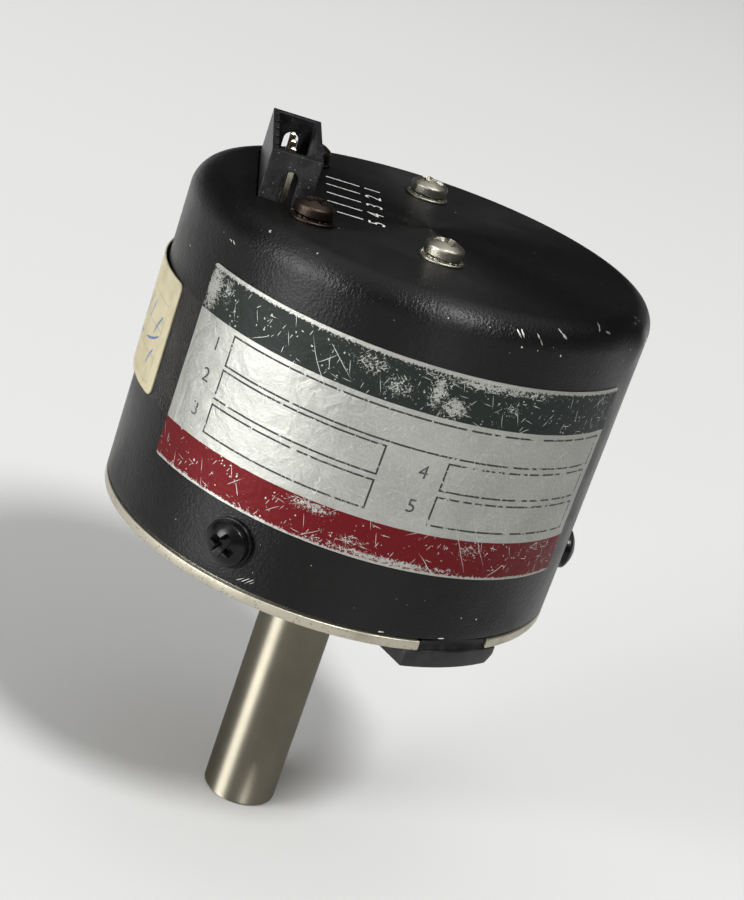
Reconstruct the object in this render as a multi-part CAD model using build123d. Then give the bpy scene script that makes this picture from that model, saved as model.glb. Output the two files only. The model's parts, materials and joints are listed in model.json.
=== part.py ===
from build123d import *
import math
import os

# Capacitance diaphragm gauge: a black can on a base plate, with an inlet tube under it.
# Origin at the centre of the base plate's underside. +Z runs up the can's axis, the tube
# points along -Z, and the nameplate faces -Y. Angles round the can, in degrees, start
# from the nameplate's side (-Y) and grow towards +X.

# Can
can_diameter = 76.2
can_wall = 1.0
can_height = 52.7
shoulder_radius = 4.2
rim_gap = 0.45

# Base plate and the ring that centres the can on it
plate_diameter = can_diameter
plate_thickness = 1.6
ring_wall = 1.5
ring_height = 9.4
ring_clearance = 0.15

# Notch in the plate's edge and the rubber plug that sits in it
notch_angle = 31.8
notch_width = 13.5
notch_depth = 3.4
plug_angle = 32.3
plug_width = 18.2
plug_depth = 2.95
plug_reach = 6.0
plug_setback = 0.9
plug_clearance = 0.4
plug_chamfer = 1.3

# Inlet tube
tube_diameter = 12.7
tube_wall = 0.9
tube_length = 51.5
tube_chamfer = 0.5
spigot_diameter = 12.1
spigot_clearance = 0.1

# Sensor
sensor_diameter = 58.0
sensor_lift = 3.0
seat_outer_diameter = 42.0
seat_inner_diameter = 28.0
sensor_base_height = 8.0
tube_socket_depth = 2.0
port_diameter = 8.0
chamber_diameter = 48.0
chamber_depth = 3.0
baffle_diameter = 18.0
baffle_thickness = 0.4
baffle_lift = 0.8
baffle_foot = 1.6
diaphragm_diameter = 55.0
diaphragm_thickness = 0.1
cover_height = 13.2
cover_wall = 2.6
electrode_gap = 0.25
electrode_thickness = 3.0
electrode_clearance = 0.2
electrode_rim = 3.0
spring_thickness = 0.6
clamp_thickness = 2.4
clamp_rim = 5.0

# Feedthroughs, getter and pinch-off tube on the sensor's cover
feedthrough_offset = 7.5
glass_diameter = 5.0
feedthrough_pin_diameter = 1.0
pin_above_board = 1.2
getter_place = (-14.0, 6.0)
getter_diameter = 8.0
getter_height = 5.2
getter_wall = 0.5
pinch_place = (13.0, 7.0)
pinch_diameter = 3.2
pinch_wall = 0.6
pinch_height = 5.6
pinch_flat = 0.9

# Circuit boards and what holds them
board_thickness = 1.6
board_diameter = 66.0
lower_board_height = 7.0
upper_board_drop = 2.95
standoff_flats = 5.5
stud_diameter = 2.8
stud_length = 3.0
cover_stud_length = 1.6
board_hole_clearance = 0.2
spacer_diameter = 6.0
nut_flats = 5.5
nut_height = 2.4

# Screws: machine screws with pan heads and a cross recess, and their washers
screw_diameter = 3.5
head_crown = 0.7
recess_width = 0.9
recess_length = 3.8
recess_depth = 1.2
hole_clearance = 0.15
washer_thickness = 0.8
lid_head_diameter = 6.2
lid_head_height = 2.6
lid_washer_diameter = 7.2
lid_screw_x = 0.6
lid_screw_y = 1.5
lid_screw_spread = 36.6
lid_screw_grip = 5.0
board_screw_x = -19.8
board_screw_gap = 0.5
side_head_diameter = 6.9
side_head_height = 2.3
side_washer_diameter = 7.8
side_screw_height = 8.3
side_screw_angles = (-28.5, 91.5, 211.5)
side_screw_reach = 3.4

# Connector header that stands through the lid
header_x = -24.2
header_y = 2.1
header_width = 8.0
header_length = 28.0
header_rise = 7.6
header_wall = 1.0
header_end_wall = 1.6
header_floor = 3.2
header_clearance = 0.3
slot_width = 2.4
slot_rise = 4.9
key_width = 1.2
key_depth = 0.45
contact_count = 5
contact_pitch = 5.08
contact_width = 1.0
contact_drop = 2.05
contact_tail = 1.8
contact_tip = 0.3

# Parts on the boards
link_x = 24.0
link_pitch = 2.54
link_count = 6
link_block_width = 2.5
link_block_height = 8.5
link_pin_width = 0.64
link_pin_excess = 1.4
chip_size = (7.6, 19.0, 3.4)
chip_places = ((-15.0, -7.0), (14.0, -5.0), (-15.0, 15.0))
capacitor_diameter = 6.3
capacitor_height = 11.0
capacitor_places = ((9.5, 22.0), (17.0, 19.0))
trimmer_size = (9.5, 9.5, 4.8)
trimmer_places = ((11.0, -22.5), (-10.5, -24.0))
trimmer_screw_diameter = 2.2
trimmer_screw_rise = 0.6

# Nameplate, sticker and clear tape on the can's wall
label_width = 76.2
label_height = 32.0
label_thickness = 0.15
label_middle = 29.2
label_tilt = 0.93
label_angle = 0.8
sticker_start_angle = -67.0
sticker_end_angle = -125.0
sticker_low = 20.0
sticker_height = 18.8
sticker_thickness = 0.2
sticker_lift = 0.55
tape_overhang = 2.5
tape_thickness = 0.08
tape_label_gap = 0.2

# Heights and radii worked out from the values above
can_radius = can_diameter / 2
can_bore = can_radius - can_wall
can_foot = plate_thickness + rim_gap
can_top = can_foot + can_height
lid_underside = can_top - can_wall
ring_radius = can_bore - ring_clearance
tube_radius = tube_diameter / 2
sensor_floor = plate_thickness + sensor_lift
tube_top = sensor_floor + tube_socket_depth
base_top = sensor_floor + sensor_base_height
chamber_floor = base_top - chamber_depth
diaphragm_top = base_top + diaphragm_thickness
cover_top = diaphragm_top + cover_height
cover_ceiling = cover_top - cover_wall
electrode_foot = diaphragm_top + electrode_gap
electrode_top = electrode_foot + electrode_thickness
spring_top = electrode_top + spring_thickness
lower_board_foot = cover_top + lower_board_height
lower_board_top = lower_board_foot + board_thickness
upper_board_top = lid_underside - upper_board_drop
upper_board_foot = upper_board_top - board_thickness
header_top = can_top + header_rise
contact_top = header_top - contact_drop
board_screw_offset = header_length / 2 + lid_washer_diameter / 2 + board_screw_gap
lid_screw_places = [(lid_screw_x, lid_screw_y + side * lid_screw_spread / 2) for side in (-1, 1)]
board_screw_places = [(board_screw_x, header_y + side * board_screw_offset) for side in (-1, 1)]
contact_places = [(i - (contact_count - 1) / 2) * contact_pitch for i in range(contact_count)]


def cylinder(diameter, low, high, x=0.0, y=0.0):
    """Upright cylinder between two heights."""
    return Pos(x, y, (low + high) / 2) * Cylinder(diameter / 2, high - low)


def ring(outer, inner, low, high, x=0.0, y=0.0):
    """Upright tube between two heights; outer and inner are diameters."""
    return cylinder(outer, low, high, x, y) - cylinder(inner, low, high, x, y)


def hexagon(flats, low, high, x=0.0, y=0.0):
    """Upright hexagonal bar."""
    profile = Plane.XY.offset(low) * Pos(x, y) * RegularPolygon(flats / math.sqrt(3), 6)
    return extrude(profile, high - low)


def block(size_x, size_y, low, high, x=0.0, y=0.0):
    """Upright box between two heights, centred on x and y."""
    return Pos(x, y, (low + high) / 2) * Box(size_x, size_y, high - low)


def at_angle(angle):
    """Turns what was made on the nameplate's side (-Y) to another angle round the can."""
    return Rot(0, 0, angle)


def wall_point(radius, angle):
    """Point at a radius and an angle round the can."""
    turn = math.radians(angle)
    return (radius * math.sin(turn), -radius * math.cos(turn))


def wall_sheet(radius, thickness, start, end, low, high):
    """Curved sheet on the can's wall between two angles and two heights."""
    middle = (start + end) / 2
    inner = ThreePointArc(*[wall_point(radius, a) for a in (start, middle, end)])
    outer = ThreePointArc(*[wall_point(radius + thickness, a) for a in (end, middle, start)])
    sides = [Line(inner @ 1, outer @ 0), Line(outer @ 1, inner @ 0)]
    face = make_face([inner, sides[0], outer, sides[1]])
    return Pos(0, 0, low) * extrude(face, high - low, dir=(0, 0, 1))


def screw(diameter, height, grip):
    """Pan-head screw with its head above z = 0 and its shank reaching down to -grip."""
    edge = diameter / 2
    outline = Polyline((0, 0), (edge, 0), (edge, height - head_crown), (edge - head_crown, height),
                       (0, height), close=True)
    head = revolve(Plane.XZ * make_face(outline), Axis.Z)
    for turn in (0, 90):
        head -= Rot(0, 0, turn) * block(recess_length, recess_width, height - recess_depth, height)
    return head + cylinder(screw_diameter, -grip, 0)


def washer(diameter):
    """Flat washer standing on z = 0."""
    return ring(diameter, screw_diameter + 2 * hole_clearance, 0, washer_thickness)


def make_can():
    """Drawn cup, open below, with holes for the header and the screws."""
    cup = cylinder(can_diameter, can_foot, can_top)
    cup = fillet(cup.edges().sort_by(Axis.Z)[-1], shoulder_radius)
    hollow = cylinder(2 * can_bore, can_foot, lid_underside)
    hollow = fillet(hollow.edges().sort_by(Axis.Z)[-1], shoulder_radius - can_wall)
    cup -= hollow
    hole = screw_diameter + 2 * hole_clearance
    for x, y in lid_screw_places + board_screw_places:
        cup -= cylinder(hole, lid_underside - 1, can_top + 1, x, y)
    for angle in side_screw_angles:
        drill = Pos(0, -can_radius, side_screw_height) * Rot(90, 0, 0) * Cylinder(hole / 2, 4 * can_wall)
        cup -= at_angle(angle) * drill
    cutout = 2 * header_clearance
    cup -= block(header_width + cutout, header_length + cutout, lid_underside - 1, can_top + 1,
                 header_x, header_y)
    return cup


def make_base_plate():
    """Round plate with a hole for the tube's spigot and a notch in its edge."""
    plate = ring(plate_diameter, spigot_diameter + 2 * spigot_clearance, 0, plate_thickness)
    notch = Box(notch_width, 2 * notch_depth, 3 * plate_thickness)
    return plate - at_angle(notch_angle) * Pos(0, -plate_diameter / 2, plate_thickness / 2) * notch


def make_locating_ring():
    """Ring welded on the plate: the can slides over it and the side screws bite in it."""
    top = plate_thickness + ring_height
    band = ring(2 * ring_radius, 2 * (ring_radius - ring_wall), plate_thickness, top)
    for angle in side_screw_angles:
        drill = Rot(90, 0, 0) * Cylinder(screw_diameter / 2, 4 * ring_wall)
        band -= at_angle(angle) * Pos(0, -ring_radius, side_screw_height) * drill
    return band


def make_notch_plug():
    """Rubber plug: a curved foot under the plate and a web up through its notch."""
    outer = plate_diameter / 2
    foot = ring(2 * outer, 2 * (outer - plug_reach), -plug_depth, 0)
    foot &= block(plug_width, outer, -plug_depth, 0, 0, -outer)
    lowest = foot.edges().filter_by(Axis.Y).group_by(Axis.Z)[0]
    foot = chamfer(lowest.sort_by(Axis.X)[-1], plug_chamfer)
    web_width = notch_width - 2 * plug_clearance
    web_depth = notch_depth - plug_setback - plug_clearance
    web_middle = -outer + plug_setback + web_depth / 2
    web = block(web_width, web_depth, 0, plate_thickness, 0, web_middle)
    return at_angle(plug_angle) * foot + at_angle(notch_angle) * web


def make_inlet_tube():
    """Plain steel tube, turned down to a spigot that goes up through the plate to the sensor."""
    bore = tube_diameter - 2 * tube_wall
    tube = ring(tube_diameter, bore, -tube_length, 0)
    lowest = tube.edges().group_by(Axis.Z)[0].sort_by(SortBy.RADIUS)[-1]
    return chamfer(lowest, tube_chamfer) + ring(spigot_diameter, bore, 0, tube_top)


def make_sensor_seat():
    """Ring that carries the sensor above the plate."""
    return ring(seat_outer_diameter, seat_inner_diameter, plate_thickness, sensor_floor)


def make_sensor_base():
    """Turned lower half of the sensor, with the tube's socket, the port and the chamber."""
    body = cylinder(sensor_diameter, sensor_floor, base_top)
    body -= cylinder(spigot_diameter, sensor_floor, tube_top)
    body -= cylinder(port_diameter, tube_top, chamber_floor)
    return body - cylinder(chamber_diameter, chamber_floor, base_top)


def make_particle_baffle():
    """Disc on three bent feet that keeps dust from the port off the diaphragm."""
    low = chamber_floor + baffle_lift
    disc = cylinder(baffle_diameter, low, low + baffle_thickness)
    reach = (baffle_diameter - baffle_foot) / 2
    for k in range(3):
        foot = block(baffle_foot, baffle_thickness, chamber_floor, low, 0, -reach)
        disc += at_angle(120 * k) * foot
    return disc


def make_sensor_cover():
    """Upper half of the sensor: the sealed reference side."""
    cover = cylinder(sensor_diameter, diaphragm_top, cover_top)
    cover -= cylinder(chamber_diameter, diaphragm_top, cover_ceiling)
    for side in (-1, 1):
        cover -= cylinder(glass_diameter, cover_ceiling, cover_top, side * feedthrough_offset, 0)
    cover -= cylinder(pinch_diameter, cover_ceiling, cover_top, *pinch_place)
    for x, y in lid_screw_places:
        cover -= cylinder(stud_diameter, cover_top - cover_stud_length, cover_top, x, y)
    return cover


def make_diaphragm():
    """Thin metal disc clamped between the sensor's halves."""
    return cylinder(diaphragm_diameter, base_top, diaphragm_top)


def make_electrode_spacer():
    """Shim ring that sets the gap between diaphragm and electrode."""
    outer = chamber_diameter - electrode_clearance
    return ring(outer, outer - 2 * electrode_rim, diaphragm_top, electrode_foot)


def make_electrode_disc():
    """Ceramic disc that carries the electrodes."""
    return cylinder(chamber_diameter - electrode_clearance, electrode_foot, electrode_top)


def make_electrode_spring():
    """Flat spring ring on the ceramic disc."""
    outer = chamber_diameter - electrode_clearance
    return ring(outer, outer - 2 * electrode_rim, electrode_top, spring_top)


def make_electrode_clamp():
    """Threaded ring, screwed into the cover, that holds the spring down."""
    inner = chamber_diameter - 2 * clamp_rim
    return ring(chamber_diameter, inner, spring_top, spring_top + clamp_thickness)


def make_feedthrough_glass():
    """Glass beads that seal the two leads."""
    beads = [
        ring(glass_diameter, feedthrough_pin_diameter, cover_ceiling, cover_top, side * feedthrough_offset, 0)
        for side in (-1, 1)
    ]
    return Compound(beads)


def make_feedthrough_pins():
    """Leads from the electrodes up through the lower board."""
    top = lower_board_top + pin_above_board
    pins = [
        cylinder(feedthrough_pin_diameter, electrode_top, top, side * feedthrough_offset, 0)
        for side in (-1, 1)
    ]
    return Compound(pins)


def make_getter():
    """Small cup that holds the getter, welded on the cover."""
    x, y = getter_place
    top = cover_top + getter_height
    cup = cylinder(getter_diameter, cover_top, top, x, y)
    return cup - cylinder(getter_diameter - 2 * getter_wall, cover_top, top - getter_wall, x, y)


def make_pinch_off_tube():
    """Copper tube through which the reference side was pumped, pinched flat at its end."""
    x, y = pinch_place
    neck = cover_top + pinch_height * 0.55
    end = Plane.XY.offset(cover_top + pinch_height)
    tube = ring(pinch_diameter, pinch_diameter - 2 * pinch_wall, cover_ceiling, neck, x, y)
    round_end = Plane.XY.offset(neck) * Pos(x, y) * Circle(pinch_diameter / 2)
    flat_end = end * Pos(x, y) * Rectangle(pinch_diameter * 1.3, pinch_flat)
    return tube + loft([round_end, flat_end])


def make_lower_standoffs():
    """Hexagonal standoffs from the sensor's cover to the lower board."""
    posts = []
    for x, y in lid_screw_places:
        post = hexagon(standoff_flats, cover_top, lower_board_foot, x, y)
        post += cylinder(stud_diameter, cover_top - cover_stud_length, cover_top, x, y)
        posts.append(post - cylinder(stud_diameter, lower_board_foot - stud_length, lower_board_foot, x, y))
    return Compound(posts)


def make_upper_standoffs():
    """Hexagonal standoffs from the lower board to the lid, tapped for the lid's screws."""
    posts = []
    for x, y in lid_screw_places:
        post = hexagon(standoff_flats, lower_board_top, lid_underside, x, y)
        post += cylinder(stud_diameter, lower_board_foot - stud_length, lower_board_top, x, y)
        posts.append(post - cylinder(screw_diameter, lid_underside - lid_screw_grip, lid_underside, x, y))
    return Compound(posts)


def make_lower_board():
    """Lower circuit board."""
    board = cylinder(board_diameter, lower_board_foot, lower_board_top)
    for x, y in lid_screw_places:
        hole = stud_diameter + 2 * board_hole_clearance
        board -= cylinder(hole, lower_board_foot, lower_board_top, x, y)
    for side in (-1, 1):
        hole = feedthrough_pin_diameter + 2 * board_hole_clearance
        board -= cylinder(hole, lower_board_foot, lower_board_top, side * feedthrough_offset, 0)
    return board


def make_upper_board():
    """Upper circuit board, hung from the lid, with room for the tall standoffs."""
    board = cylinder(board_diameter, upper_board_foot, upper_board_top)
    for x, y in lid_screw_places:
        hole = standoff_flats * 2 / math.sqrt(3) + 4 * board_hole_clearance
        board -= cylinder(hole, upper_board_foot, upper_board_top, x, y)
    for x, y in board_screw_places:
        hole = screw_diameter + 2 * board_hole_clearance
        board -= cylinder(hole, upper_board_foot, upper_board_top, x, y)
    hole = contact_width * math.sqrt(2) + 2 * board_hole_clearance
    for y in contact_places:
        board -= cylinder(hole, upper_board_foot, upper_board_top, header_x, header_y + y)
    hole = link_pin_width * math.sqrt(2) + 2 * board_hole_clearance
    for y in link_places():
        board -= cylinder(hole, upper_board_foot, upper_board_top, link_x, y)
    return board


def make_board_spacers():
    """Round spacers between the lid and the upper board."""
    bore = screw_diameter + 2 * hole_clearance
    low, high = upper_board_top, lid_underside
    return Compound([ring(spacer_diameter, bore, low, high, x, y) for x, y in board_screw_places])


def make_board_nuts():
    """Nuts under the upper board."""
    low = upper_board_foot - nut_height
    nuts = [
        hexagon(nut_flats, low, upper_board_foot, x, y)
        - cylinder(screw_diameter, low, upper_board_foot, x, y)
        for x, y in board_screw_places
    ]
    return Compound(nuts)


def link_places():
    """Places along Y of the pins that join the boards."""
    return [(i - (link_count - 1) / 2) * link_pitch for i in range(link_count)]


def make_link_block():
    """Insulating block of the pin strip between the boards."""
    top = lower_board_top + link_block_height
    body = block(link_block_width, link_count * link_pitch, lower_board_top, top, link_x, 0)
    for y in link_places():
        body -= block(link_pin_width, link_pin_width, lower_board_top, top, link_x, y)
    return body


def make_link_pins():
    """Pins of the strip, up through the upper board."""
    top = upper_board_top + link_pin_excess
    pins = [block(link_pin_width, link_pin_width, lower_board_top, top, link_x, y) for y in link_places()]
    return Compound(pins)


def make_chips():
    """Chip packages on the lower board."""
    size_x, size_y, height = chip_size
    top = lower_board_top + height
    return Compound([block(size_x, size_y, lower_board_top, top, x, y) for x, y in chip_places])


def make_capacitors():
    """Electrolytic capacitors on the lower board."""
    top = lower_board_top + capacitor_height
    return Compound([cylinder(capacitor_diameter, lower_board_top, top, x, y) for x, y in capacitor_places])


def make_trimmers():
    """Trimming potentiometers on the lower board, with their screws."""
    size_x, size_y, height = trimmer_size
    top = lower_board_top + height
    pots = []
    for x, y in trimmer_places:
        pot = block(size_x, size_y, lower_board_top, top, x, y)
        pots.append(pot + cylinder(trimmer_screw_diameter, top, top + trimmer_screw_rise, x, y))
    return Compound(pots)


def make_header():
    """Connector housing on the upper board: a slotted shroud that stands through the lid."""
    body = block(header_width, header_length, upper_board_top, header_top, header_x, header_y)
    inner_width = header_width - 2 * header_wall
    inner_length = header_length - 2 * header_end_wall
    floor = upper_board_top + header_floor
    body -= block(inner_width, inner_length, floor, header_top, header_x, header_y)
    for y in contact_places:
        body -= block(contact_width, contact_width, upper_board_top, floor, header_x, header_y + y)
        key_x = header_x - header_width / 2 + header_wall - key_depth / 2
        body -= block(key_depth, key_width, floor, header_top, key_x, header_y + y)
    slot_straight = can_top + slot_rise - slot_width / 2
    slot = block(slot_width, header_length, floor, slot_straight, header_x, header_y)
    arch = Pos(header_x, header_y, slot_straight) * Rot(90, 0, 0) * Cylinder(slot_width / 2, header_length)
    return body - slot - arch


def make_contacts():
    """Square contacts of the header, with chamfered tips and soldered tails."""
    low = upper_board_foot - contact_tail
    contacts = []
    for y in contact_places:
        contact = block(contact_width, contact_width, low, contact_top, header_x, header_y + y)
        contacts.append(chamfer(contact.faces().sort_by(Axis.Z)[-1].edges(), contact_tip))
    return Compound(contacts)


def on_lid(piece, places, height):
    """Copies of a piece at places on the lid, standing at a height."""
    return Compound([Pos(x, y, height) * piece for x, y in places])


def on_wall(piece, distance):
    """Copies of an upright piece laid outwards on the can's wall at the side screws."""
    outward = Pos(0, -distance, side_screw_height) * Rot(90, 0, 0)
    return Compound([at_angle(angle) * outward * piece for angle in side_screw_angles])


def make_nameplate():
    """Foil nameplate bent round the wall, stuck on slightly askew."""
    half_turn = math.degrees(label_width / 2 / can_radius)
    sheet = wall_sheet(can_radius, label_thickness, label_angle - half_turn, label_angle + half_turn,
                       label_middle - label_height, label_middle + label_height)
    slab = Box(2 * can_diameter, 2 * can_diameter, label_height)
    return sheet & (Pos(0, 0, label_middle) * Rot(0, label_tilt, 0) * slab)


def bulged_sheet(thickness, inner_gap, start, end, low, high):
    """Sheet held at both ends on the wall and standing off it in the middle."""
    middle = (start + end) / 2
    near = can_radius + inner_gap
    far = near + thickness
    bulge = sticker_lift
    inner = ThreePointArc(wall_point(near, start), wall_point(near + bulge, middle), wall_point(near, end))
    outer = ThreePointArc(wall_point(far, end), wall_point(far + bulge, middle), wall_point(far, start))
    face = make_face([inner, Line(inner @ 1, outer @ 0), outer, Line(outer @ 1, inner @ 0)])
    return Pos(0, 0, low) * extrude(face, high - low, dir=(0, 0, 1))


def make_sticker():
    """Paper sticker, come away from the wall in the middle."""
    high = sticker_low + sticker_height
    return bulged_sheet(sticker_thickness, 0, sticker_start_angle, sticker_end_angle, sticker_low, high)


def make_tape():
    """Clear tape over the sticker, from the nameplate's edge to past the sticker."""
    label_edge = label_angle - math.degrees((label_width / 2 + tape_label_gap) / can_radius)
    low, high = sticker_low, sticker_low + sticker_height
    start_angle, end_angle = sticker_start_angle, sticker_end_angle
    tape = bulged_sheet(tape_thickness, sticker_thickness, start_angle, end_angle, low, high)
    ends = ((label_edge, start_angle), (end_angle, end_angle - tape_overhang))
    for start, end in ends:
        tape += wall_sheet(can_radius, sticker_thickness + tape_thickness, start, end, low, high)
    return tape


def save(name, shape):
    """Writes one piece, a single solid or a group of like ones, as its own file."""
    shape.label = name
    export_step(shape, f"parts/{name}.step")


os.makedirs("parts", exist_ok=True)
lid_seat = can_top + washer_thickness
lid_grip = washer_thickness + can_wall + lid_screw_grip
board_grip = lid_seat - upper_board_foot + nut_height
side_grip = washer_thickness + side_screw_reach
lid_screw = screw(lid_head_diameter, lid_head_height, lid_grip)
board_screw = screw(lid_head_diameter, lid_head_height, board_grip)
side_screw = screw(side_head_diameter, side_head_height, side_grip)

pieces = {
    "can": make_can(),
    "base_plate": make_base_plate(),
    "locating_ring": make_locating_ring(),
    "notch_plug": make_notch_plug(),
    "inlet_tube": make_inlet_tube(),
    "sensor_seat": make_sensor_seat(),
    "sensor_base": make_sensor_base(),
    "particle_baffle": make_particle_baffle(),
    "diaphragm": make_diaphragm(),
    "electrode_spacer": make_electrode_spacer(),
    "electrode_disc": make_electrode_disc(),
    "electrode_spring": make_electrode_spring(),
    "electrode_clamp": make_electrode_clamp(),
    "sensor_cover": make_sensor_cover(),
    "feedthrough_glass": make_feedthrough_glass(),
    "feedthrough_pins": make_feedthrough_pins(),
    "getter_cup": make_getter(),
    "pinch_off_tube": make_pinch_off_tube(),
    "lower_standoffs": make_lower_standoffs(),
    "lower_board": make_lower_board(),
    "upper_standoffs": make_upper_standoffs(),
    "upper_board": make_upper_board(),
    "board_spacers": make_board_spacers(),
    "board_nuts": make_board_nuts(),
    "link_block": make_link_block(),
    "link_pins": make_link_pins(),
    "board_chips": make_chips(),
    "board_capacitors": make_capacitors(),
    "trim_pots": make_trimmers(),
    "header_shroud": make_header(),
    "header_contacts": make_contacts(),
    "lid_washers": on_lid(washer(lid_washer_diameter), lid_screw_places, can_top),
    "lid_screws": on_lid(lid_screw, lid_screw_places, lid_seat),
    "board_screw_washers": on_lid(washer(lid_washer_diameter), board_screw_places, can_top),
    "board_screws": on_lid(board_screw, board_screw_places, lid_seat),
    "side_washers": on_wall(washer(side_washer_diameter), can_radius),
    "side_screws": on_wall(side_screw, can_radius + washer_thickness),
    "nameplate": make_nameplate(),
    "paper_sticker": make_sticker(),
    "clear_tape": make_tape(),
}

for name, shape in pieces.items():
    save(name, shape)
    print(f"{name}: {len(shape.solids())} solid(s), {shape.volume:.1f} cubic mm")
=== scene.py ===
import json
import math
import random
import bpy
import bmesh
from mathutils import Matrix, Vector, noise


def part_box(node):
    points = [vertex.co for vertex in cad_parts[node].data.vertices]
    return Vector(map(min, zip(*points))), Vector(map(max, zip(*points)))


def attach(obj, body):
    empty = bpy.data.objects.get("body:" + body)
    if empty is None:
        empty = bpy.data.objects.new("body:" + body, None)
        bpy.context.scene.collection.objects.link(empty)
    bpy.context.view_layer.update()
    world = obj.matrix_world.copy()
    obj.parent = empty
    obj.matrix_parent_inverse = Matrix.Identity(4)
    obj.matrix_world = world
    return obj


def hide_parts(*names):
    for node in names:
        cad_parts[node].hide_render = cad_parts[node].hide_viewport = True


# Capacitance diaphragm gauge: a black can with a worn foil nameplate, on an inlet tube.
# Lengths are in millimetres until a mesh is made. Angles round the can, in degrees, start
# at the nameplate's side (-Y) and grow towards +X.

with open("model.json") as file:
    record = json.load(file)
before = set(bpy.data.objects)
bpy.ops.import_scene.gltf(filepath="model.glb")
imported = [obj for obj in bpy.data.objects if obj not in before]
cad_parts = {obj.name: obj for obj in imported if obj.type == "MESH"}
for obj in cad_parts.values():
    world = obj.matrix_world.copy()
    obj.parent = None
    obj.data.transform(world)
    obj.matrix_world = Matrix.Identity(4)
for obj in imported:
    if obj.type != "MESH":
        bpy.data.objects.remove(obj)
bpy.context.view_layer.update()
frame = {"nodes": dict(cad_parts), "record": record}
print("frame loaded:", len(frame["nodes"]), "nodes")

mm = 0.001


def boxOf(node):
    low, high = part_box(node)
    return low / mm, high / mm


# Sizes that the solids give

canLow, canHigh = boxOf("can")
canRadius = canHigh.x
canFoot = canLow.z
canTop = canHigh.z
headerLow, headerHigh = boxOf("header_shroud")
tubeLow, tubeHigh = boxOf("inlet_tube")
tubeFoot = tubeLow.z

scene = bpy.context.scene
scene.view_settings.view_transform = "Standard"


# Mesh helpers

def wallPoint(radius, angle, z):
    turn = math.radians(angle)
    return Vector((radius * math.sin(turn), -radius * math.cos(turn), z))


def meshOf(name, verts, faces):
    mesh = bpy.data.meshes.new(name)
    mesh.from_pydata([Vector(v) * mm for v in verts], [], faces)
    return mesh


def linked(name, data):
    # a new object, put into the scene
    item = bpy.data.objects.new(name, data)
    scene.collection.objects.link(item)
    return item


def finishPiece(name, mesh, material, replaced=(), sharp=35):
    mesh.validate()
    mesh.shade_smooth()
    mesh.set_sharp_from_angle(angle=math.radians(sharp))
    mesh.materials.clear()
    mesh.materials.append(material)
    piece = linked(name, mesh)
    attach(piece, "root")
    if replaced:
        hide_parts(*replaced)


def lathe(profile, segments, closed=False):
    # profile is (radius, height) pairs; a radius of 0 makes one pole vertex
    verts, rings, faces = [], [], []
    for radius, z in profile:
        if radius == 0:
            verts.append((0, 0, z))
            rings.append([len(verts) - 1] * segments)
            continue
        start = len(verts)
        for k in range(segments):
            verts.append(wallPoint(radius, 360 * k / segments, z))
        rings.append(list(range(start, start + segments)))
    pairs = list(zip(rings, rings[1:]))
    if closed:
        pairs.append((rings[-1], rings[0]))
    for lower, upper in pairs:
        for k in range(segments):
            j = (k + 1) % segments
            corners = [lower[k], lower[j], upper[j], upper[k]]
            face = [c for i, c in enumerate(corners) if c != corners[i - 1]]
            if len(face) > 2:
                faces.append(face)
    return verts, faces


def arcPoints(centre, radius, start, end, steps):
    turns = [math.radians(start + (end - start) * k / steps) for k in range(steps + 1)]
    return [(centre[0] + radius * math.cos(t), centre[1] + radius * math.sin(t)) for t in turns]


def rows(start, end, spacing):
    count = max(1, round(abs(end - start) / spacing))
    return [start + (end - start) * k / count for k in range(count + 1)]


def joined(shapes):
    # several (verts, faces) as one
    verts, faces = [], []
    for points, polygons in shapes:
        faces += [[i + len(verts) for i in polygon] for polygon in polygons]
        verts += points
    return verts, faces


def editMesh(mesh, change):
    work = bmesh.new()
    work.from_mesh(mesh)
    change(work)
    work.to_mesh(mesh)
    work.free()


def finalMesh(item):
    # the mesh of an object with its modifiers, or of a text's figures; the object itself goes
    bpy.context.view_layer.update()
    mesh = bpy.data.meshes.new_from_object(item.evaluated_get(bpy.context.evaluated_depsgraph_get()))
    bpy.data.objects.remove(item)
    return mesh


def cutFrom(mesh, cutters):
    # cutters is a list of (verts, faces); all are taken out of the mesh at once
    tool = meshOf("tool", *joined(cutters))
    for item in (mesh, tool):
        editMesh(item, lambda work: bmesh.ops.recalc_face_normals(work, faces=work.faces))
    body, cutter = linked("body", mesh), linked("tool", tool)
    modifier = body.modifiers.new("cut", "BOOLEAN")
    modifier.operation = "DIFFERENCE"
    modifier.solver = "EXACT"
    modifier.object = cutter
    result = finalMesh(body)
    bpy.data.objects.remove(cutter)
    return result


def boxShape(low, high):
    (x0, y0, z0), (x1, y1, z1) = low, high
    verts = [(x, y, z) for z in (z0, z1) for x, y in ((x0, y0), (x1, y0), (x1, y1), (x0, y1))]
    faces = [(3, 2, 1, 0), (4, 5, 6, 7), (0, 1, 5, 4), (1, 2, 6, 5), (2, 3, 7, 6), (3, 0, 4, 7)]
    return verts, faces


def moved(shape, matrix):
    verts, faces = shape
    return [matrix @ Vector(v) for v in verts], faces


def rod(radius, low, high, segments=32):
    return lathe([(0, low), (radius, low), (radius, high), (0, high)], segments)


def middle(pair):
    return (pair[0] + pair[1]) / 2


def onWall(spot, out=0.0):
    # lays a shape that stands on z = 0 against the wall, at the spot's side and height
    return (Matrix.Rotation(math.atan2(spot.x, -spot.y), 4, "Z")
            @ Matrix.Translation((0, -canRadius - out, spot.z)) @ Matrix.Rotation(math.radians(90), 4, "X"))


# Node helpers: a value is a plain one or another node's output

def isSocket(value):
    return isinstance(value, bpy.types.NodeSocket)


def feed(socket, value):
    if isSocket(value):
        socket.id_data.links.new(value, socket)
    elif socket.type == "RGBA":
        socket.default_value = (*value, 1)
    else:
        socket.default_value = value


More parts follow.
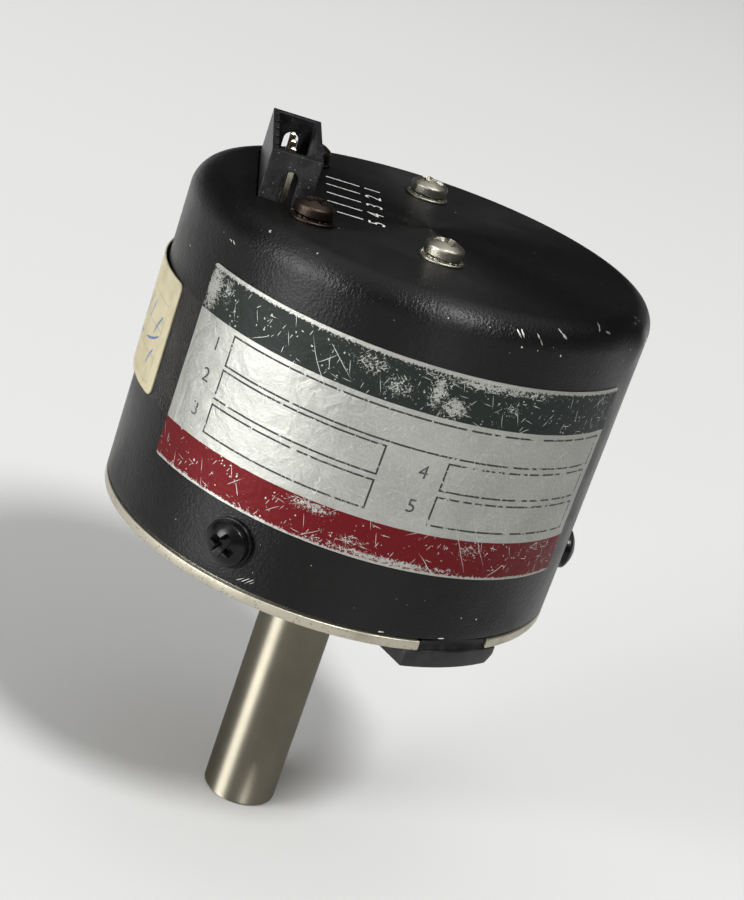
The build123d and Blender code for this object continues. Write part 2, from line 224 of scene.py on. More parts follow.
def put(kind, *values, tree=None, out=0, named=None, **settings):
    # values fill the sockets in order, and named ones by name
    named = named or {}
    tree = tree or next(v for v in (*values, *named.values()) if isSocket(v)).id_data
    node = tree.nodes.new(kind)
    for name, value in settings.items():
        setattr(node, name, value)
    for socket, value in zip(node.inputs, values):
        feed(socket, value)
    for name, value in named.items():
        feed(node.inputs[name], value)
    return node.outputs[out]


def calc(operation, *values):
    return put("ShaderNodeMath", *values, operation=operation)


def times(first, second):
    return calc("MULTIPLY", first, second)


def timesAdd(first, second, third):
    return calc("MULTIPLY_ADD", first, second, third)


def without(mask):
    return calc("SUBTRACT", 1.0, mask)


def largest(masks):
    result = masks[0]
    for mask in masks[1:]:
        result = calc("MAXIMUM", result, mask)
    return result


def vectors(operation, *values, out="Vector"):
    return put("ShaderNodeVectorMath", *values, out=out, operation=operation)


def partsOf(vector):
    return put("ShaderNodeSeparateXYZ", vector).node.outputs


def chancesOf(colour):
    return put("ShaderNodeSeparateColor", colour).node.outputs


def ramp(value, low, high, toLow=0.0, toHigh=1.0):
    # smooth step from low to high
    ends = {"Value": value, "From Min": low, "From Max": high, "To Min": toLow, "To Max": toHigh}
    return put("ShaderNodeMapRange", named=ends, interpolation_type="SMOOTHSTEP")


def blend(factor, first, second):
    # the colours go in at sockets 6 and 7, and their mix comes out at 2
    node = factor.id_data.nodes.new("ShaderNodeMix")
    node.data_type = "RGBA"
    for place, value in ((0, factor), (6, first), (7, second)):
        feed(node.inputs[place], value)
    return node.outputs[2]


def noiseOf(vector, scale, detail=3.0, roughness=0.5, distortion=0.0, out=0):
    shape = {"Vector": vector, "Scale": scale, "Detail": detail, "Roughness": roughness,
             "Distortion": distortion}
    return put("ShaderNodeTexNoise", named=shape, out=out)


def newGroup(name, result, **inputs):
    # an input of None is a place, and the others are numbers
    tree = bpy.data.node_groups.new(name, "ShaderNodeTree")
    for label, value in inputs.items():
        kind = "NodeSocketVector" if value is None else "NodeSocketFloat"
        socket = tree.interface.new_socket(name=label, in_out="INPUT", socket_type=kind)
        if value is not None:
            socket.default_value = value
    tree.interface.new_socket(name=result, in_out="OUTPUT", socket_type="NodeSocketFloat")
    return tree, tree.nodes.new("NodeGroupInput").outputs, tree.nodes.new("NodeGroupOutput").inputs[0]


def useGroup(group, **values):
    node = next(v for v in values.values() if isSocket(v)).id_data.nodes.new("ShaderNodeGroup")
    node.node_tree = group
    for name, value in values.items():
        feed(node.inputs[name], value)
    return node.outputs[0]


# Shared effects

def makeGrainGroup():
    # close bumpy grain, as of paint or plastic
    tree, given, result = newGroup("fineGrain", "Height", Vector=None, Size=0.4, Unevenness=0.5)
    scale = calc("DIVIDE", 1.0, given["Size"])
    fine = noiseOf(given["Vector"], scale, 2.0, 0.5)
    broad = noiseOf(given["Vector"], times(scale, 0.22), 2.0, 0.5)
    feed(result, timesAdd(broad, given["Unevenness"], fine))
    return tree


def turned(given):
    sockets = {"Vector": given["Vector"], "Angle": given["Turn"]}
    return put("ShaderNodeVectorRotate", named=sockets, rotation_type="Z_AXIS")


def makeScratchGroup():
    # long fine scratches of one direction; Length and Width are in the vector's units
    tree, given, result = newGroup("scratches", "Mask", Vector=None, Turn=0.0, Length=8.0, Width=0.1,
                                   Share=0.2, Shift=0.0)
    parts = partsOf(turned(given))
    wander = noiseOf(given["Vector"], 0.16, 1.0, 0.4)
    alongCell = calc("DIVIDE", parts["X"], given["Length"])
    acrossCell = calc("DIVIDE", timesAdd(wander, 1.3, parts["Y"]), times(given["Width"], 10.0))
    cell = put("ShaderNodeCombineXYZ", alongCell, acrossCell, given["Shift"])
    spots = put("ShaderNodeTexVoronoi", named={"Vector": cell, "Scale": 1.0}).node.outputs
    away = partsOf(vectors("SUBTRACT", cell, spots["Position"]))
    chance = chancesOf(spots["Color"])
    tilt = timesAdd(chance[1], 0.9, -0.45)
    across = calc("ABSOLUTE", timesAdd(away["X"], tilt, away["Y"]))
    reach = ramp(calc("ABSOLUTE", away["X"]), 0.10, 0.46, 0.05, 0.0)
    line = calc("LESS_THAN", across, reach)
    kept = calc("LESS_THAN", chance[0], given["Share"])
    strength = timesAdd(chance[2], 0.7, 0.3)
    feed(result, times(times(line, kept), strength))
    return tree


def makeScuffGroup():
    # matted scuffs: threads of one direction, close together
    tree, given, result = newGroup("scuffs", "Mask", Vector=None, Turn=0.0, Stretch=5.0, Size=1.0, Level=0.6)
    shape = put("ShaderNodeCombineXYZ", 1.0, given["Stretch"], 1.0)
    drawn = vectors("MULTIPLY", turned(given), shape)
    threads = noiseOf(drawn, calc("DIVIDE", 1.0, given["Size"]), 5.0, 0.62, 0.6)
    feed(result, calc("GREATER_THAN", threads, given["Level"]))
    return tree


def makeSpeckGroup():
    # small scattered specks such as dust, chips and pinholes
    tree, given, result = newGroup("specks", "Mask", Vector=None, Spacing=2.0, Size=0.2, Share=0.3)
    crooked = vectors("MULTIPLY", noiseOf(given["Vector"], 3.0, 2.0, 0.6, out="Color"), (0.35, 0.35, 0.35))
    place = vectors("ADD", given["Vector"], crooked)
    sockets = {"Vector": place, "Scale": calc("DIVIDE", 1.0, given["Spacing"])}
    spots = put("ShaderNodeTexVoronoi", named=sockets).node.outputs
    chance = chancesOf(spots["Color"])
    inside = calc("LESS_THAN", spots["Distance"], times(given["Size"], chance[1]))
    feed(result, times(inside, calc("LESS_THAN", chance[0], given["Share"])))
    return tree


def makeCloudGroup():
    # slow change of tone, such as handling, haze and polish
    tree, given, result = newGroup("toneClouds", "Mask", Vector=None, Size=12.0, Low=0.35, High=0.65)
    clouds = noiseOf(given["Vector"], calc("DIVIDE", 1.0, given["Size"]), 5.0, 0.55)
    feed(result, ramp(clouds, given["Low"], given["High"]))
    return tree


def makeFrameGroup():
    # outline of a ruled rectangle, in the flat map's millimetres
    tree, given, result = newGroup("ruledFrame", "Mask", Across=0.0, Up=0.0, Left=0.0, Right=1.0, Bottom=0.0,
                                   Top=1.0, Line=0.3)

    def outside(value, low, high):
        centre = times(calc("ADD", low, high), 0.5)
        half = times(calc("SUBTRACT", high, low), 0.5)
        return calc("SUBTRACT", calc("ABSOLUTE", calc("SUBTRACT", value, centre)), half)

    distance = largest([outside(given["Across"], given["Left"], given["Right"]),
                        outside(given["Up"], given["Bottom"], given["Top"])])
    feed(result, calc("LESS_THAN", calc("ABSOLUTE", distance), times(given["Line"], 0.5)))
    return tree


grainGroup = makeGrainGroup()
scratchGroup = makeScratchGroup()
scuffGroup = makeScuffGroup()
speckGroup = makeSpeckGroup()
cloudGroup = makeCloudGroup()
frameGroup = makeFrameGroup()
print("shared effects ready")


def grainOn(place, size, unevenness):
    return useGroup(grainGroup, Vector=place, Size=size, Unevenness=unevenness)


def specksOn(place, spacing, size, share):
    return useGroup(speckGroup, Vector=place, Spacing=spacing, Size=size, Share=share)


def cloudsOn(place, size, low, high):
    return useGroup(cloudGroup, Vector=place, Size=size, Low=low, High=high)


def boxesOn(across, up, boxes, line):
    return largest([useGroup(frameGroup, Across=across, Up=up, Left=left, Right=right, Bottom=bottom,
                             Top=top, Line=line) for left, right, bottom, top in boxes])


# Materials

shaderSockets = {
    "colour": "Base Color",
    "metallic": "Metallic",
    "roughness": "Roughness",
    "specular": "Specular IOR Level",
    "streak": "Anisotropic",
    "streakTurn": "Anisotropic Rotation",
    "ior": "IOR",
    "alpha": "Alpha",
}
acrossTheAxis = 0.25    # turn of the streaks: the shine is drawn out up and down the wall


def dress(shader, **look):
    for name, value in look.items():
        feed(shader.inputs[shaderSockets[name]], value)


def newMaterial(name, **look):
    material = bpy.data.materials.new(name)
    material.use_nodes = True
    shader = material.node_tree.nodes["Principled BSDF"]
    dress(shader, **look)
    return material, shader


def placeInMm(shader):
    place = put("ShaderNodeTexCoord", tree=shader.id_data, out="Object")
    return vectors("MULTIPLY", place, (1 / mm, 1 / mm, 1 / mm))


def flatInMm(shader):
    # the flat map of the sheets: the place, and its parts across and up, in millimetres
    parts = partsOf(put("ShaderNodeUVMap", tree=shader.id_data, uv_map="flat"))
    return put("ShaderNodeCombineXYZ", parts["X"], parts["Y"], 0.0), parts["X"], parts["Y"]


def addBump(shader, height, depth):
    # depth in millimetres
    normal = put("ShaderNodeBump", named={"Distance": depth * mm, "Height": height})
    feed(shader.inputs["Normal"], normal)


def darker(colour, share):
    return tuple(c * share for c in colour)


paint = {
    "colour": (0.0022, 0.0022, 0.0021),
    "hazeColour": (0.006, 0.006, 0.0057),
    "dustColour": (0.16, 0.16, 0.15),
    "roughness": 0.35,
    "hazeRoughness": 0.10,
    "specular": 0.24,
    "streak": 0.85,
    # size, low end and high end of the haze, and of the scuffs inside it
    "haze": (9.0, 0.42, 0.72),
    "scuff": (1.1, 0.45, 0.7),
    "scuffShare": 0.55,
    # spacing, size and share of the specks of dust
    "dust": (2.6, 0.11, 0.16),
    "dustShare": 0.5,
    # size and unevenness
    "grain": (0.42, 0.6),
    "grainDepth": 0.08,
}


def makePaint():
    material, shader = newMaterial("satinBlackPaint", colour=paint["colour"], roughness=paint["roughness"],
                                   specular=paint["specular"], streak=paint["streak"],
                                   streakTurn=acrossTheAxis)
    place = placeInMm(shader)
    haze = cloudsOn(place, *paint["haze"])
    scuff = times(haze, cloudsOn(place, *paint["scuff"]))
    dust = specksOn(place, *paint["dust"])
    scuffed = blend(times(scuff, paint["scuffShare"]), paint["colour"], paint["hazeColour"])
    dress(shader, colour=blend(times(dust, paint["dustShare"]), scuffed, paint["dustColour"]),
          roughness=timesAdd(haze, paint["hazeRoughness"], paint["roughness"]))
    addBump(shader, grainOn(place, *paint["grain"]), paint["grainDepth"])
    return material


brushed = {
    # detail and roughness of the grain's noise
    "detail": (4.0, 0.6),
    # size, low end and high end of the change of tone
    "clouds": (6.0, 0.3, 0.75),
    "cloudShare": 0.35,
    "lineShare": 0.4,
    "darkest": 0.72,
}


def makeBrushedMetal(name, colour, roughness, stretch, size=0.35, depth=0.012, streak=0.0, dull=0.12):
    # stretch is the scale of the grain along x, y and z
    material, shader = newMaterial(name, colour=colour, metallic=1.0, roughness=roughness, streak=streak,
                                   streakTurn=acrossTheAxis)
    place = placeInMm(shader)
    lines = noiseOf(vectors("MULTIPLY", place, stretch), 1.0 / size, *brushed["detail"])
    tone = timesAdd(cloudsOn(place, *brushed["clouds"]), brushed["cloudShare"],
                    times(lines, brushed["lineShare"]))
    dress(shader, colour=blend(tone, colour, darker(colour, brushed["darkest"])),
          roughness=timesAdd(lines, dull, roughness - dull / 2))
    addBump(shader, lines, depth)
    return material


plateMetal = {
    "colour": (0.44, 0.41, 0.33),
    "stained": (0.20, 0.185, 0.14),
    "pitted": (0.17, 0.15, 0.12),
    "metallic": 0.85,
    "smooth": 0.42,
    "rough": 0.6,
    # spacing, size and share
    "pits": (0.45, 0.40, 0.55),
    "pitShare": 0.6,
    # size, low end and high end
    "stains": (5.0, 0.45, 0.8),
    "stainShare": 0.55,
    # size and unevenness
    "grain": (0.25, 0.4),
    "depth": 0.03,
}


def makePlateMetal():
    material, shader = newMaterial("agedPlateMetal", colour=plateMetal["colour"],
                                   metallic=plateMetal["metallic"], roughness=plateMetal["smooth"])
    place = placeInMm(shader)
    pits = specksOn(place, *plateMetal["pits"])
    stain = cloudsOn(place, *plateMetal["stains"])
    aged = blend(times(stain, plateMetal["stainShare"]), plateMetal["colour"], plateMetal["stained"])
    dress(shader, colour=blend(times(pits, plateMetal["pitShare"]), aged, plateMetal["pitted"]),
          roughness=ramp(stain, 0.0, 1.0, plateMetal["smooth"], plateMetal["rough"]))
    addBump(shader, calc("SUBTRACT", grainOn(place, *plateMetal["grain"]), pits), plateMetal["depth"])
    return material


plastic = {
    # size, low end and high end of the change of tone
    "clouds": (2.2, 0.4, 0.75),
    "glossRange": 0.12,
    # spacing, size and share of the specks
    "dust": (0.45, 0.3, 0.35),
    "dustColour": (0.14, 0.14, 0.13),
    "unevenness": 0.5,
}


def makePlastic(name, colour, worn, roughness=0.5, grainSize=0.3, grainDepth=0.02, dust=0.0,
                specular=0.32):
    material, shader = newMaterial(name, colour=colour, roughness=roughness, specular=specular)
    place = placeInMm(shader)
    clouds = cloudsOn(place, *plastic["clouds"])
    tone = blend(clouds, colour, worn)
    if dust:
        tone = blend(times(specksOn(place, *plastic["dust"]), dust), tone, plastic["dustColour"])
    glossRange = plastic["glossRange"]
    dress(shader, colour=tone, roughness=timesAdd(clouds, glossRange, roughness - glossRange / 2))
    addBump(shader, grainOn(place, grainSize, plastic["unevenness"]), grainDepth)
    return material


plate = {
    "silver": (0.52, 0.525, 0.485),
    "scratched": (0.74, 0.75, 0.72),
    "dark": (0.005, 0.009, 0.007),
    "red": (0.105, 0.0035, 0.0055),
    "redMetal": 0.5,
    "ink": (0.02, 0.022, 0.022),
    "roughness": 0.46,
    "specular": 0.26,
    "streak": 0.5,
    # threads above this level are bare, and the haze and the rubs lower it
    "bareLevel": 0.715,
    "hazeWear": 0.035,
    "rubWear": 0.24,
    # scratches stronger than this go through the print
    "cutThrough": 0.72,
    # stretch of the rolled grain, scale and height of the creases, depth of the relief
    "rolled": (0.14, 5.0, 1),
    "creases": (0.26, 4.5),
    "depth": 0.035,
    "darkBand": (8.8, 15.4),
    "redBand": (-15.6, -9.6),
    "lineWidth": 0.30,
    # left, right, bottom, top of the ruled boxes
    "boxes": [(-29.5, 36.8, 3.1, 7.9), (-29.6, -2.0, -2.3, 2.3), (-29.6, -2.0, -7.9, -3.3),
              (7.9, 36.3, -2.3, 2.1), (7.9, 36.2, -8.0, -3.4)],
    # turn, length, width, share and shift of the layers of scratches
    "scratches": [(0.75, 9.0, 0.08, 0.08, 1.3), (-0.62, 5.0, 0.08, 0.09, 4.1),
                  (1.25, 3.0, 0.07, 0.18, 7.7), (0.15, 2.0, 0.07, 0.18, 11.9),
                  (-1.15, 1.4, 0.08, 0.26, 16.2), (1.0, 16.0, 0.08, 0.05, 21.4)],
    # turn, stretch and size of the layers of scuffed threads
    "threads": [(0.8, 4.5, 1.1), (-0.5, 3.5, 0.9), (0.1, 1.2, 0.55)],
    # across, up, half width, half height and strength of the places rubbed through to the metal
    "rubs": [(-36.6, 12.6, 1.9, 3.6, 1.0), (-33.6, 13.6, 1.5, 2.4, 0.6), (-8.0, 13.4, 3.2, 1.8, 0.55),
             (-3.4, 11.6, 2.4, 2.2, 0.6), (2.4, 12.6, 1.4, 3.0, 0.85), (5.6, 10.6, 2.2, 1.6, 0.95),
             (-16, 15.4, 5, 0.5, 0.5), (10, 14.9, 12, 0.8, 0.75), (15, 12.2, 2.0, 1.5, 0.45),
             (-9.5, -10.6, 4.0, 1.0, 0.75), (-2.5, -13.6, 3.0, 0.8, 0.6), (3.0, -15.1, 12.0, 0.6, 0.8),
             (16.0, -11.0, 3.0, 1.6, 0.4), (31.0, -10.4, 3.0, 0.8, 0.5)],
}


def makeFoil():
    material, shader = newMaterial("wornFoilPlate", colour=plate["silver"], metallic=1.0,
                                   roughness=plate["roughness"], specular=plate["specular"],
                                   streak=plate["streak"], streakTurn=acrossTheAxis)
    flat, across, up = flatInMm(shader)

    # wear: scratches, rubbed places and scuffs of threads between them
    lines = largest([useGroup(scratchGroup, Vector=flat, Turn=turn, Length=length, Width=width, Share=share,
                              Shift=shift) for turn, length, width, share, shift in plate["scratches"]])
    rubs = []
    for x, y, halfWidth, halfHeight, strength in plate["rubs"]:
        offset = vectors("SUBTRACT", flat, (x, y, 0))
        scaled = vectors("MULTIPLY", offset, (1 / halfWidth, 1 / halfHeight, 1))
        rubs.append(ramp(vectors("LENGTH", scaled, out="Value"), 0.1, 1.7, strength, 0.0))
    rubbed = times(largest(rubs), plate["rubWear"])
    wear = timesAdd(cloudsOn(flat, 6.0, 0.42, 0.72), plate["hazeWear"], rubbed)
    level = calc("SUBTRACT", plate["bareLevel"], wear)
    scuffs = largest([useGroup(scuffGroup, Vector=flat, Turn=turn, Stretch=stretch, Size=size, Level=level)
                      for turn, stretch, size in plate["threads"]])
    through = calc("GREATER_THAN", lines, plate["cutThrough"])
    patchy = calc("GREATER_THAN", cloudsOn(flat, 3.0, 0.40, 0.62), 0.45)
    bare = largest([scuffs, through, times(specksOn(flat, 0.50, 0.36, 0.42), patchy)])

    # printed bands, worn ragged along the plate's edges
    upRagged = calc("ADD", up, timesAdd(noiseOf(flat, 2.2, 5.0, 0.7), 1.6, -0.8))
    (darkLow, darkHigh), (redLow, redHigh) = plate["darkBand"], plate["redBand"]
    darkMask = times(calc("GREATER_THAN", up, darkLow), calc("LESS_THAN", upRagged, darkHigh))
    redMask = times(calc("LESS_THAN", up, redHigh), calc("GREATER_THAN", upRagged, redLow))
    # the ruled boxes' lines are broken towards the right
    gaps = timesAdd(ramp(across, -10.0, 30.0), 0.09, noiseOf(flat, 0.8, 3.0, 0.6))
    boxes = times(boxesOn(across, up, plate["boxes"], plate["lineWidth"]),
                  without(calc("GREATER_THAN", gaps, 0.63)))
    darkInk, redInk = times(darkMask, without(bare)), times(redMask, without(bare))
    boxInk = times(boxes, without(times(lines, 0.8)))

    # metal: fine rolled grain along the plate, grey haze, lighter scratches
    rolled = noiseOf(vectors("MULTIPLY", flat, plate["rolled"]), 1.8, 5.0, 0.65)
    fine = ramp(noiseOf(flat, 2.4, 4.0, 0.7), 0.34, 0.66)
    tone = timesAdd(cloudsOn(flat, 10.0, 0.35, 0.7), 0.25, times(rolled, 0.6))
    metal = blend(timesAdd(fine, 0.26, tone), plate["silver"], darker(plate["silver"], 0.60))
    coloured = blend(times(lines, 0.38), metal, plate["scratched"])
    for ink, colour in ((darkInk, "dark"), (redInk, "red"), (boxInk, "ink")):
        coloured = blend(ink, coloured, plate[colour])
    # the red ink is a clear lacquer, so much of the metal's shine comes through it
    cover = largest([times(largest([darkInk, boxInk]), 0.95), times(redInk, 1 - plate["redMetal"])])
    dress(shader, colour=coloured, metallic=without(cover),
          roughness=timesAdd(rolled, 0.16, plate["roughness"]))
    groove = times(largest([lines, bare]), -0.5)
    relief = timesAdd(rolled, 0.5, timesAdd(fine, 0.4, groove))
    creaseScale, creaseHeight = plate["creases"]
    creases = noiseOf(flat, creaseScale, 2.0, 0.5, 1.4)
    addBump(shader, timesAdd(creases, creaseHeight, relief), plate["depth"])
    return material


sticker = {
    "paper": (0.46, 0.42, 0.29),
    "aged": (0.34, 0.29, 0.16),
    "ink": (0.25, 0.23, 0.18),
    "roughness": 0.75,
    "lineWidth": 0.16,
    "boxes": [(-40.0, -2.2, 1.2, 5.4), (-40.0, -2.2, 5.4, 9.8), (-40.0, -2.2, 9.8, 14.2)],
}


def makePaper():
    material, shader = newMaterial("agedPaper", colour=sticker["paper"], roughness=sticker["roughness"])
    flat, across, up = flatInMm(shader)
    fibre = noiseOf(flat, 6.0, 5.0, 0.7)
    age = timesAdd(fibre, 0.3, times(cloudsOn(flat, 8.0, 0.35, 0.75), 0.6))
    lined = times(boxesOn(across, up, sticker["boxes"], sticker["lineWidth"]), 0.75)
    dress(shader, colour=blend(lined, blend(age, sticker["paper"], sticker["aged"]), sticker["ink"]))
    addBump(shader, fibre, 0.02)
    return material


def makeFilm():
    material, shader = newMaterial("clearTapeFilm", colour=(0.11, 0.10, 0.08), ior=1.49)
    haze = cloudsOn(placeInMm(shader), 3.0, 0.35, 0.8)
    dress(shader, alpha=ramp(haze, 0.0, 1.0, 0.03, 0.09), roughness=ramp(haze, 0.0, 1.0, 0.12, 0.3))
    addBump(shader, haze, 0.02)
    return material


def makeBoard():
    material, shader = newMaterial("greenBoard", colour=(0.03, 0.16, 0.07), roughness=0.35)
    weave = noiseOf(vectors("MULTIPLY", placeInMm(shader), (1.0, 6.0, 1.0)), 1.2)
    dress(shader, colour=blend(weave, (0.02, 0.12, 0.05), (0.05, 0.21, 0.10)))
    addBump(shader, weave, 0.02)
    return material


def makeEven(name, colour, worn, roughness=0.55, size=0.7, low=0.45, high=0.75):
    # one colour with a slow change of tone; as it stands, for print
    material, shader = newMaterial(name, colour=colour, roughness=roughness)
    clouds = cloudsOn(placeInMm(shader), size, low, high)
    dress(shader, colour=blend(clouds, colour, worn))
    addBump(shader, clouds, 0.01)
    return material


def makeFired(name, colour, roughness):
    # glass and ceramic
    return makeEven(name, colour, darker(colour, 0.85), roughness, 4.0, 0.3, 0.8)


materials = {
    "can_paint": makePaint(),
    "plate_metal": makePlateMetal(),
    "ring_steel": makeBrushedMetal("turnedSteel", (0.45, 0.45, 0.44), 0.35, (1, 1, 8)),
    "plug_rubber": makePlastic("blackRubber", (0.007, 0.007, 0.007), (0.018, 0.018, 0.018), 0.45, 0.5, 0.03),
    "tube_steel": makeBrushedMetal("brushedTubeSteel", (0.42, 0.39, 0.31), 0.56, (0.5, 0.5, 9), 0.5, 0.006,
                                   1.0, 0.06),
    "sensor_alloy": makeBrushedMetal("turnedAlloy", (0.52, 0.50, 0.47), 0.3, (1, 1, 8)),
    "ceramic": makeFired("whiteCeramic", (0.84, 0.82, 0.77), 0.4),
    "seal_glass": makeFired("darkSealGlass", (0.04, 0.08, 0.07), 0.08),
    "copper": makeBrushedMetal("copperTube", (0.72, 0.36, 0.20), 0.3, (1, 1, 1)),
    "board": makeBoard(),
    "black_plastic": makePlastic("darkMouldedPlastic", (0.006, 0.006, 0.007), (0.018, 0.017, 0.018), 0.42,
                                 0.3, 0.06, 0.5),
    "blue_plastic": makePlastic("bluePlastic", (0.03, 0.10, 0.30), (0.05, 0.13, 0.34), 0.3),
    "contact_metal": makeBrushedMetal("tinnedContact", (0.80, 0.74, 0.58), 0.28, (6, 6, 1), 0.4, 0.01),
    "bright_screws": makeBrushedMetal("brightNickel", (0.34, 0.325, 0.27), 0.32, (2, 2, 5), 0.3, 0.05),
    "bronze_screws": makeBrushedMetal("darkBronze", (0.048, 0.036, 0.029), 0.36, (2, 2, 5), 0.3, 0.04),
    "black_screws": makePlastic("blackOxideSteel", (0.003, 0.003, 0.003), (0.009, 0.009, 0.009), 0.3, 0.3,
                                0.012, 0.0, 0.2),
    "foil": makeFoil(),
    "paper": makePaper(),
    "clear_film": makeFilm(),
}
whitePrint = makeEven("whitePrint", (0.66, 0.67, 0.65), (0.30, 0.31, 0.30))
bareMetal = makeBrushedMetal("bareCanMetal", (0.80, 0.80, 0.76), 0.38, (1, 1, 1), 0.2, 0.01)
nodeSlots = {row["node"]: row["material_slot"] for row in frame["record"]["subparts"]}
for name, node in frame["nodes"].items():
    node.data.materials.clear()
    node.data.materials.append(materials[nodeSlots[name]])
print("materials ready:", len(materials))


# Can

can = {
    "segments": 360,
    "wall": 1.0,
    "shoulder": 4.2,
    "footRound": 0.25,
    # spacing of the mesh's rows on the wall, lid, ceiling and inside of the wall
    "spacing": (1.2, 2.0, 6.0, 8.0),
    "waviness": 0.035,
    "waves": 0.11,
    # knocked place on the right of the shoulder: where, how wide, how far out, how fast it fades
    "dentAngle": 63.0,
    "dentHeight": 51.3,
    "dentReach": 5.0,
    "dentRise": 0.5,
    "dentFade": 2.2,
    # holes for the screws, gap round the header, and the cutters' reach under and over the lid
    "hole": 3.8,
    "cutoutGap": 0.3,
    "cutUnder": 2,
    "cutOver": 1,
}
mmPerDegree = 0.66    # round the can's wall


def canProfile():
    radius, wall, shoulder, foot = canRadius, can["wall"], can["shoulder"], can["footRound"]
    onSkin, onLid, onCeiling, inside = can["spacing"]
    outer = arcPoints((radius - foot, canFoot + foot), foot, -90, 0, 4)
    outer += [(radius, z) for z in rows(canFoot + foot, canTop - shoulder, onSkin)[1:-1]]
    outer += arcPoints((radius - shoulder, canTop - shoulder), shoulder, 0, 90, 16)
    outer += [(r, canTop) for r in rows(radius - shoulder, 0, onLid)[1:]]
    inner = [(r, canTop - wall) for r in rows(0, radius - shoulder, onCeiling)]
    inner += arcPoints((radius - shoulder, canTop - shoulder), shoulder - wall, 90, 0, 8)[1:]
    inner += [(radius - wall, z) for z in rows(canTop - shoulder, canFoot, inside)[1:]]
    return outer + inner


def knocked(point):
    # the wall's slight unevenness, and the knock on the shoulder
    x, y, z = point
    radius = math.hypot(x, y)
    # the ceiling, the inner round and the middle rows of the outer one stay as they are
    if radius < canRadius - can["wall"] - 0.2 and z < canTop - 0.5:
        return point
    angle = math.degrees(math.atan2(x, -y))
    # the unevenness only goes inwards, so apart from the knock the wall stays inside its true size
    out = (noise.noise(Vector((x, y, z)) * can["waves"]) - 1) / 2 * can["waviness"]
    if z > canTop - 0.01:
        out = 0.0
    away = math.hypot((angle - can["dentAngle"]) * mmPerDegree, z - can["dentHeight"]) / can["dentReach"]
    bulge = can["dentRise"] * math.exp(-away * away * can["dentFade"])
    if radius < canRadius - can["shoulder"] - 0.1:
        bulge = 0.0
    grow = (radius + out + bulge) / max(radius, 1e-6)
    return Vector((x * grow, y * grow, z))


def solidBoxes(node):
    # low and high corner of each separate solid of a node
    work = bmesh.new()
    work.from_mesh(frame["nodes"][node].data)
    bmesh.ops.remove_doubles(work, verts=work.verts, dist=1e-6)
    left, boxes = set(work.verts), []
    while left:
        stack = [left.pop()]
        group = list(stack)
        while stack:
            near = {vert for edge in stack.pop().link_edges for vert in edge.verts} & left
            left -= near
            stack += near
            group += near
        low = Vector([min(v.co[i] for v in group) for i in range(3)]) / mm
        high = Vector([max(v.co[i] for v in group) for i in range(3)]) / mm
        boxes.append((low, high))
    work.free()
    return sorted(boxes, key=lambda pair: tuple(pair[0]))


lidScrewBoxes = solidBoxes("lid_washers")
boardScrewBoxes = solidBoxes("board_screw_washers")
sideScrewBoxes = solidBoxes("side_washers")


def closeFoot(work):
    # the profile leaves the foot open between the outer wall and the inner one
    bmesh.ops.remove_doubles(work, verts=work.verts, dist=1e-7)
    bmesh.ops.bridge_loops(work, edges=[e for e in work.edges if e.is_boundary])


def buildCan():
    verts, faces = lathe(canProfile(), can["segments"])
    mesh = meshOf("can", [knocked(Vector(v)) for v in verts], faces)
    editMesh(mesh, closeFoot)
    gap, low, high = can["cutoutGap"], canTop - can["cutUnder"], canTop + can["cutOver"]
    cutters = [boxShape((headerLow.x - gap, headerLow.y - gap, low),
                        (headerHigh.x + gap, headerHigh.y + gap, high))]
    for spot in map(middle, lidScrewBoxes + boardScrewBoxes):
        cutters.append(moved(rod(can["hole"] / 2, low, high), Matrix.Translation((spot.x, spot.y, 0))))
    for spot in map(middle, sideScrewBoxes):
        cutters.append(moved(rod(can["hole"] / 2, -2, 2), onWall(spot)))
    finishPiece("canShell", cutFrom(mesh, cutters), materials["can_paint"], ("can",), 40)


buildCan()
print("can ready")


# Bare nicks in the paint

nicks = {
    "lift": 0.02,
    # angle and height of the start, the same of the end, then the width
    "long": [(17.7, 53.15, 19.1, 52.1, 0.24), (18.8, 53.25, 19.8, 52.2, 0.24),
             (19.5, 51.0, 19.8, 50.75, 0.30), (23.0, 53.05, 23.8, 52.4, 0.22),
             (23.9, 52.4, 24.7, 51.6, 0.20), (29.2, 53.95, 30.4, 53.3, 0.20),
             (30.2, 53.4, 31.4, 52.85, 0.46), (30.2, 50.6, 30.6, 50.25, 0.18),
             (44.8, 54.6, 43.1, 53.85, 0.22), (45.8, 53.8, 47.3, 53.62, 0.30),
             (65.5, 51.1, 68.5, 50.9, 0.34), (67.5, 50.8, 70.0, 50.2, 0.5),
             (69.0, 51.6, 70.5, 50.9, 0.6), (65.1, 54.5, 66.4, 53.9, 0.24), (62.0, 54.2, 62.9, 53.9, 0.2),
             (-45.3, 53.9, -44.6, 53.7, 0.30), (-54.1, 50.0, -53.1, 49.8, 0.14),
             (-52.9, 50.1, -51.9, 49.7, 0.18), (-70.2, 44.6, -69.8, 44.5, 0.22),
             (-31.5, 54.1, -31.2, 54.05, 0.2), (-24.2, 3.1, -22.6, 3.9, 0.10),
             (-23.0, 3.2, -21.4, 4.2, 0.12), (-22.2, 3.1, -20.4, 4.3, 0.10), (-21.0, 3.4, -20.0, 4.0, 0.08),
             (-9.2, 9.95, -9.0, 9.85, 0.16), (10.3, 2.35, 11.7, 2.4, 0.26), (25.8, 2.35, 27.5, 2.4, 0.2),
             (30.1, 6.1, 30.4, 6.0, 0.16), (34.9, 5.8, 35.2, 5.65, 0.22)],
    "steps": 7,
    "blunt": 0.04,
    "ragged": (0.6, 1.3),
    "wander": 0.02,
    "specks": 44,
    "speckSize": (0.06, 0.17),
    # heights of the two bands of specks, and the share of specks in the upper one
    "upperBand": (49.5, 54.74),
    "lowerBand": (2.6, 12.0),
    "upperShare": 0.7,
    "seed": 11,
}


